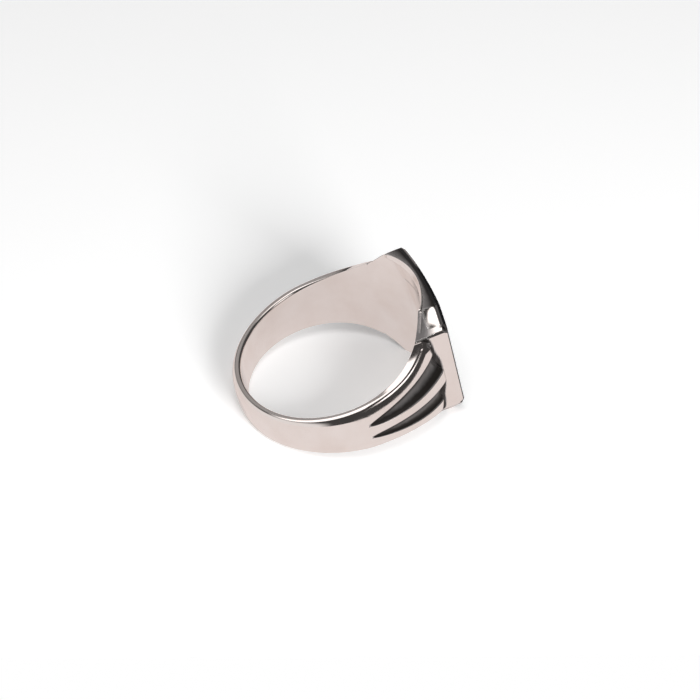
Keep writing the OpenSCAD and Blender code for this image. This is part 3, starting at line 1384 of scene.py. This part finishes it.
    def side_wall(self, level: Level) -> Piece:
        """A wall along one finger side, round the cut corners, under the tablet.

        Args:
            level: which end of the finger hole.

        Returns:
            The piece, its cut corners slightly cushioned, and painted shade on its long side and on
            its cut corners' faces.
        """
        s, o = self.s, self.outline
        share = np.linspace(0, 1, self.wall_rows)
        points, tarnish_and_shade = [], []
        for y in self.stations(s.inner_half_l):
            low, top = math.sqrt(s.liner_out_r**2 - y * y), float(o.crown(y, s.tablet_t))
            z = float(o.half_width(y)) + self.cushion(abs(y), share)
            x = low + (top - low) * share
            inside = float(o.half_width(y)) - s.side_wall_t
            loop = [(low, inside)] + list(zip(x, z)) + [(top, inside)]
            points.append([(x, y, level.value * z) for x, z in loop])
            tarnish_and_shade.append([0.0] + list(self.side_wall_painted_shade(abs(y), share)) + [0.0])
        name = level.name.lower()
        grid = Grid(np.array(points), np.array(tarnish_and_shade))
        return Piece(loft(f"{name}_side_rim", grid), f"{name}_side_wall", "polished_silver")

    def across_corner(self, y: float) -> float:
        """Place across a cut corner: -1 at its crease and 1 where the end plate begins."""
        half = (self.s.inner_half_l - self.s.crease_y) / 2
        return (y - self.s.crease_y - half) / half

    def cushion(self, y: float, share: np.ndarray) -> np.ndarray:
        """How far the side wall stands out, for the cut corners' cushioned faces.

        Args:
            y: distance from the head's middle across the finger.
            share: places up the wall, from 0 at the liner to 1 at the tablet.

        Returns:
            The distance in mm at each place.
        """
        u = min(1.0, max(-1.0, self.across_corner(y)))
        v = 2 * share - 1
        return self.cushion_h * (1 - u * u) * (1 - v * v) / self.outline.nz

    def side_wall_painted_shade(self, y: float, share: np.ndarray) -> np.ndarray:
        """Painted shade on a side wall, growing towards the tablet, and along the corners' borders.

        Args:
            y: distance from the head's middle across the finger.
            share: places up the wall, from 0 at the liner to 1 at the tablet.

        Returns:
            Painted shade at each place.
        """
        u = self.across_corner(y)
        if u < -1:
            # Painted shade on the long side, darker towards the tablet, standing in for dark
            # reflections.
            return self.side_painted_shade[0] + self.side_painted_shade[1] * smoothstep(share) ** 1.3
        up = 2 * share - 1
        border = (max(0.0, -u) ** 4 + np.abs(up) ** 4) ** 0.25
        # Painted shade: a dark outline round the cut corner's face.
        depth = self.border_painted_shade[0] + self.border_painted_shade[1] * smoothstep(up + 0.6)
        edge = depth * smoothstep((border - self.border_at) / 0.12)
        # Painted shade: grey on the lower part of the cut corner, reaching higher towards the end
        # wall.
        grey = smoothstep((self.grey_at + self.grey_lean * u - share) / 0.3)
        return np.maximum(edge, self.grey_painted_shade * grey)

    def stations(self, reach: float) -> np.ndarray:
        """Distances across the finger at which the head's sections lie.

        Args:
            reach: the furthest of them.

        Returns:
            The distances, closer at the creases.
        """
        crease = self.s.crease_y
        near = np.linspace(crease - 0.3, crease + 0.3, 13)
        half = np.unique(np.round(np.concatenate([np.linspace(0, reach, 60), near, [reach]]), 5))
        half = half[half <= reach + 1e-9]
        return np.concatenate([-half[:0:-1], half])

    def liner(self) -> Piece:
        """The arched sheet under the head, its rims opened outwards, with a shallow relief.

        Returns:
            The piece.
        """
        s, o, edge = self.s, self.outline, self.liner_edge
        end = np.degrees(np.arcsin(s.inner_half_l / s.bore_r))
        shares = np.concatenate([
            np.linspace(-1, -edge, 14),
            np.linspace(-edge, edge, 100)[1:-1],
            np.linspace(edge, 1, 14),
        ])
        bare = [0.0] * (len(shares) - 2)
        r = s.liner_out_r
        points, tarnish_and_shade = [], []
        for a in np.linspace(-end, end, self.liner_rows):
            turn = math.radians(a)
            y = s.bore_r * math.sin(turn)
            inner = [self.liner_point(turn, y, z) for z in shares * float(o.half_width(y))]
            out_y = min(s.inner_half_l, abs(r * math.sin(turn))) * np.sign(a)
            x = math.sqrt(r * r - out_y * out_y)
            outer = [(x, out_y, z) for z in shares[::-1] * float(o.half_width(out_y))]
            points.append(inner + outer)
            # Painted shade on the liner's rims beside the cut corners.
            dark = self.liner_painted_shade if abs(y) > s.crease_y else 0.0
            tarnish_and_shade.append(([dark] + bare + [dark]) * 2)
        pts = np.array(points)
        pts[:, :, 1] = np.clip(pts[:, :, 1], -s.inner_half_l, s.inner_half_l)
        grid = Grid(pts, np.array(tarnish_and_shade))
        return Piece(loft("finger_liner_sheet", grid), "finger_liner", "polished_silver")

    def liner_point(self, turn: float, y: float, z: float) -> tuple[float, float, float]:
        """A point of the liner's inside, with its relief and its opened rims.

        Args:
            turn: angle from the face in radians.
            y: distance across the finger on the finger hole's wall.
            z: distance along the finger.

        Returns:
            The point.
        """
        s, soft = self.s, self.relief_soft
        inside = (smoothstep((self.relief_half_l - abs(y)) / soft + 0.5)
                  * smoothstep((self.relief_half_w - abs(z)) / soft + 0.5))
        slope = self.rim_slope * float(smoothstep((5.4 - abs(y)) / 1.2))
        opened = slope * max(0.0, abs(z) - self.rim_open_at)
        r = s.bore_r + self.relief_depth * float(inside) + opened
        return r * math.cos(turn), r * math.sin(turn), z

    def tablet(self) -> Piece:
        """The black tablet, bevelled along its open edges, curved across the finger.

        Returns:
            The piece.
        """
        s, o = self.s, self.outline
        b, edge = s.tablet_bevel, self.tablet_edge
        radii = (self.tablet_foot, edge, edge, edge, edge, self.tablet_foot)
        points = []
        for y in self.stations(s.inner_half_l):
            z0, z1 = float(o.half_width(y)), float(o.half_width(y, b))
            base, top = float(o.crown(y, s.tablet_t)), float(o.crown(y))
            corners = [(base, -z0), (top - b, -z0), (top, -z1), (top, z1), (top - b, z0), (base, z0)]
            points.append([(x, y, z) for x, z in rounded_section(corners, radii)])
        pts = np.array(points)
        grid = Grid(pts, np.zeros(pts.shape[:2]))
        return Piece(loft("onyx_tablet_cut", grid), "onyx_tablet", "onyx")


# ---------------------------------------------------------------- studio


@dataclass(frozen=True)
class CameraView:
    """Where the camera stands, in the ring's frame.

    Attributes:
        turn: rotation vector from the ring's frame to right, down and forward.
        aim: how far the ring's origin lies to the left of and above the view's middle, in mm.
        distance: distance of the ring's origin along the view, in mm.
        lens: focal length in mm.
        sensor: width of the sensor in mm.
    """

    turn: tuple = (2.2519, -0.50178, -0.05522)
    aim: tuple = (-1.2605, 1.4030)
    distance: float = 262.9
    lens: float = 130.3
    sensor: float = 36

    def build(self) -> bpy.types.Object:
        """Makes the camera and the scene's camera of it.

        Returns:
            The camera's object.
        """
        vector = Vector(self.turn)
        axes = Matrix.Rotation(vector.length, 3, vector.normalized())
        offset = Vector((self.aim[0], self.aim[1], self.distance)) * MM
        data = bpy.data.cameras.new("camera")
        data.lens = self.lens
        data.sensor_width = self.sensor
        data.clip_start, data.clip_end = 0.01, 10
        camera = bpy.data.objects.new("camera", data)
        turn = Matrix([list(row) for row in (axes[0], -axes[1], -axes[2])]).transposed()
        camera.matrix_world = Matrix.Translation(-(axes.transposed() @ offset)) @ turn.to_4x4()
        bpy.context.scene.collection.objects.link(camera)
        bpy.context.scene.camera = camera
        return camera


@dataclass(frozen=True)
class Ground:
    """The floor on which the ring lies on its side.

    Attributes:
        tilt: its tilt about Y in radians.
        depth: its distance below the origin in metres.
    """

    tilt: float
    depth: float

    @classmethod
    def under(cls, s: RingSizes) -> "Ground":
        """Finds the floor, which the head's lower edge and the back's lower rim rest on.

        Args:
            s: the ring's sizes.

        Returns:
            The floor's place.
        """
        head_x = s.face_x - s.tablet_bevel
        back_x = s.bore_r + s.edge_t
        tilt = math.atan2(s.side_top - s.back_half_w, head_x + back_x)
        depth = back_x * math.sin(tilt) + s.back_half_w * math.cos(tilt)
        return cls(tilt, depth * MM)

    @property
    def up(self) -> Vector:
        """The floor's upright."""
        return Vector((math.sin(self.tilt), 0, math.cos(self.tilt)))

    def toward(self, azimuth: float, height: float = 0.0) -> Vector:
        """A direction over the floor.

        Args:
            azimuth: the angle round the floor's upright, in degrees from the ring's face.
            height: the angle above the floor, in degrees.

        Returns:
            The direction, one long.
        """
        a, h = math.radians(azimuth), math.radians(height)
        ahead = Vector((math.cos(self.tilt), 0, -math.sin(self.tilt)))
        level = ahead * math.cos(a) + Vector((0, 1, 0)) * math.sin(a)
        return level * math.cos(h) + self.up * math.sin(h)


@dataclass(frozen=True)
class Lamp:
    """A soft square lamp aimed at the ring, which the metal doesn't mirror.

    Attributes:
        name: the lamp's name.
        azimuth: its direction round the floor's upright, in degrees from the ring's face.
        height: its direction above the floor, in degrees.
        power: its power in watts.
        distance: how far away it stands, in metres.
        size: its side in metres.
    """

    name: str
    azimuth: float
    height: float
    power: float
    distance: float = 0.5
    size: float = 0.2

    def build(self, ground: Ground) -> bpy.types.Object:
        """Makes the lamp.

        Args:
            ground: the floor that it stands over.

        Returns:
            The lamp's object.
        """
        place = ground.toward(self.azimuth, self.height) * self.distance
        data = bpy.data.lights.new(self.name, "AREA")
        data.shape = "SQUARE"
        data.size = self.size
        data.energy = self.power
        lamp = bpy.data.objects.new(self.name, data)
        lamp.location = place
        lamp.rotation_mode = "QUATERNION"
        lamp.rotation_quaternion = (-place).to_track_quat("-Z", "Y")
        lamp.visible_glossy = False
        bpy.context.scene.collection.objects.link(lamp)
        return lamp


@dataclass(frozen=True)
class Glow:
    """A pale area of the room, such as a soft box, seen as a soft-edged disc.

    Attributes:
        azimuth: its direction round the floor's upright, in degrees from the ring's face.
        height: its direction above the floor, in degrees.
        half_angle: half the angle that it fills, in degrees.
        soft: how wide its edge is, in degrees.
        level: how bright it is, 1 being white.
    """

    azimuth: float
    height: float
    half_angle: float
    soft: float
    level: float


class RoomNodes(Graph):
    """The nodes of the surroundings: a dim room with pale areas, which only the metal mirrors."""

    dim = 0.05
    tint = (1.0, 0.935, 0.91)

    def __init__(self, tree: bpy.types.NodeTree, ground: Ground) -> None:
        """Starts with the direction that a ray leaves in.

        Args:
            tree: the world's node tree.
            ground: the floor in the room.
        """
        super().__init__(tree)
        self.ground = ground
        self.heading = self.add("ShaderNodeTexCoord").outputs["Generated"]

    def along(self, direction: Vector, low: float, high: float, level: float) -> NodeSocket:
        """A level that sets in as rays come closer to a direction.

        Args:
            direction: the direction.
            low: cosine of the angle at which it starts.
            high: cosine of the angle at which it is full.
            level: its full value.

        Returns:
            The level.
        """
        dot = self.add("ShaderNodeVectorMath", operation="DOT_PRODUCT")
        dot.inputs[1].default_value = direction
        self.feed(self.heading, dot.inputs[0])
        return self.remap(dot.outputs["Value"], low, high, 0.0, level,
                          interpolation_type="SMOOTHSTEP")

    def glow(self, g: Glow) -> NodeSocket:
        """The level of one pale area.

        Args:
            g: the pale area.

        Returns:
            Its level, 0 outside it.
        """
        low = math.cos(math.radians(g.half_angle + g.soft / 2))
        high = math.cos(math.radians(max(0.1, g.half_angle - g.soft / 2)))
        return self.along(self.ground.toward(g.azimuth, g.height), low, high, g.level)

    def background(self, strength: Value, colour: tuple = WHITE) -> bpy.types.Node:
        """A plain background.

        Args:
            strength: how bright it is.
            colour: its colour.

        Returns:
            The background's node.
        """
        node = self.add("ShaderNodeBackground")
        self.feed(colour, node.inputs["Color"])
        self.feed(strength, node.inputs["Strength"])
        return node

    def build(self, glows: Sequence[Glow], even: float) -> None:
        """Joins the room, the even light and the camera's white.

        Args:
            glows: the pale areas of the room.
            even: level of the even light on the floor.
        """
        level = self.along(self.ground.up, -1.0, -0.999, self.dim)
        for g in glows:
            level = self.maths(Maths.HIGHER, level, self.glow(g), clamp=False)
        room = self.background(level, self.tint)
        path = self.add("ShaderNodeLightPath")
        metal = self.choose(path.outputs["Is Glossy Ray"], self.background(even), room)
        seen = self.choose(path.outputs["Is Camera Ray"], metal, self.background(1.0))
        self.feed(seen.outputs[0], self.add("ShaderNodeOutputWorld").inputs["Surface"])


@dataclass
class Studio:
    """Floor, surroundings and lamps.

    Attributes:
        ground: the floor's place.
        reach: how far the floor reaches sideways and away from the camera, in metres.
        front_azimuth: direction of the floor's front edge, in degrees from the ring's face.
        front_reach: how far in front of the ring that edge lies, in metres.
        steps: squares along each side of the floor.
        even_light: level of the even light on the floor.
    """

    ground: Ground
    reach: float = 0.5
    front_azimuth: float = -107.0
    front_reach: float = 0.038
    steps: int = 12
    even_light: float = 0.27

    def floor(self, finish: bpy.types.Material) -> bpy.types.Object:
        """The floor under the resting ring.

        Args:
            finish: its material.

        Returns:
            The floor's object.
        """
        up, front = self.ground.up, self.ground.toward(self.front_azimuth)
        side = front.cross(up)
        n = self.steps
        verts, faces = [], []
        for i in range(n + 1):
            for j in range(n + 1):
                out = self.front_reach - (self.reach + self.front_reach) * i / n
                across = (j / n * 2 - 1) * self.reach
                verts.append((front * out + side * across - up * self.ground.depth) / MM)
        for i in range(n):
            for j in range(n):
                k = i * (n + 1) + j
                faces.append((k, k + n + 1, k + n + 2, k + 1))
        floor = mesh_object("floor", np.array([tuple(v) for v in verts]), faces)
        floor.data.materials.append(finish)
        return floor

    def surroundings(self, glows: Sequence[Glow]) -> None:
        """White for the camera, even light for the floor, and a soft-boxed room for the metal.

        Args:
            glows: the pale areas of the room that the metal reflects.
        """
        world = bpy.data.worlds.new("surroundings")
        bpy.context.scene.world = world
        world.use_nodes = True
        RoomNodes(world.node_tree, self.ground).build(glows, self.even_light)

    def light(self, lamps: Sequence[Lamp]) -> None:
        """Puts up the lamps, whose light makes the ring's shadow.

        Args:
            lamps: the lamps.
        """
        for lamp in lamps:
            lamp.build(self.ground)
            log.info("%s lamp, %.2f W", lamp.name, lamp.power)


def main() -> None:
    """Builds the camera, the ring's pieces and the studio."""
    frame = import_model()
    sizes = RingSizes.from_frame(frame["record"])
    log.info("finger hole radius %.2f mm, head %.2f mm across", sizes.bore_r, 2 * sizes.head_half_l)
    CameraView().build()

    silver = SilverFinish("polished_silver").build()
    shoulder_silver = SilverFinish("antiqued_silver", rough=0.12).build()
    onyx = OnyxFinish("onyx").build()

    band = Band(sizes)
    band.shank().dress(silver)
    for side in Side:
        band.shoulder(side).dress(shoulder_silver)

    head = Head(sizes, Outline(sizes), band.form)
    for side in Side:
        head.end_wall(side).dress(silver)
    for level in Level:
        head.side_wall(level).dress(silver)
    head.liner().dress(silver)
    head.tablet().dress(onyx)

    seat = frame["nodes"]["stone_seat"]
    seat.data.materials.clear()
    seat.data.materials.append(SilverFinish("seat_silver", rough=0.35, hairline=0.3).build())

    studio = Studio(Ground.under(sizes))
    studio.floor(FloorFinish("floor").build())
    studio.surroundings([
        Glow(azimuth=170, height=-20, half_angle=60, soft=16, level=0.78),
        Glow(azimuth=147, height=64, half_angle=21, soft=5, level=1.35),
        Glow(azimuth=95, height=35, half_angle=24, soft=20, level=0.32),
        Glow(azimuth=-80, height=46, half_angle=12, soft=4, level=1.7),
    ])
    studio.light([
        Lamp("key", azimuth=-85, height=23, power=2.8),
        Lamp("fill", azimuth=-120, height=60, power=0.72),
    ])

    bpy.context.scene.view_settings.view_transform = "Standard"
    bpy.context.view_layer.update()


if __name__ == "__main__":
    logging.basicConfig(level=logging.INFO)
    main()
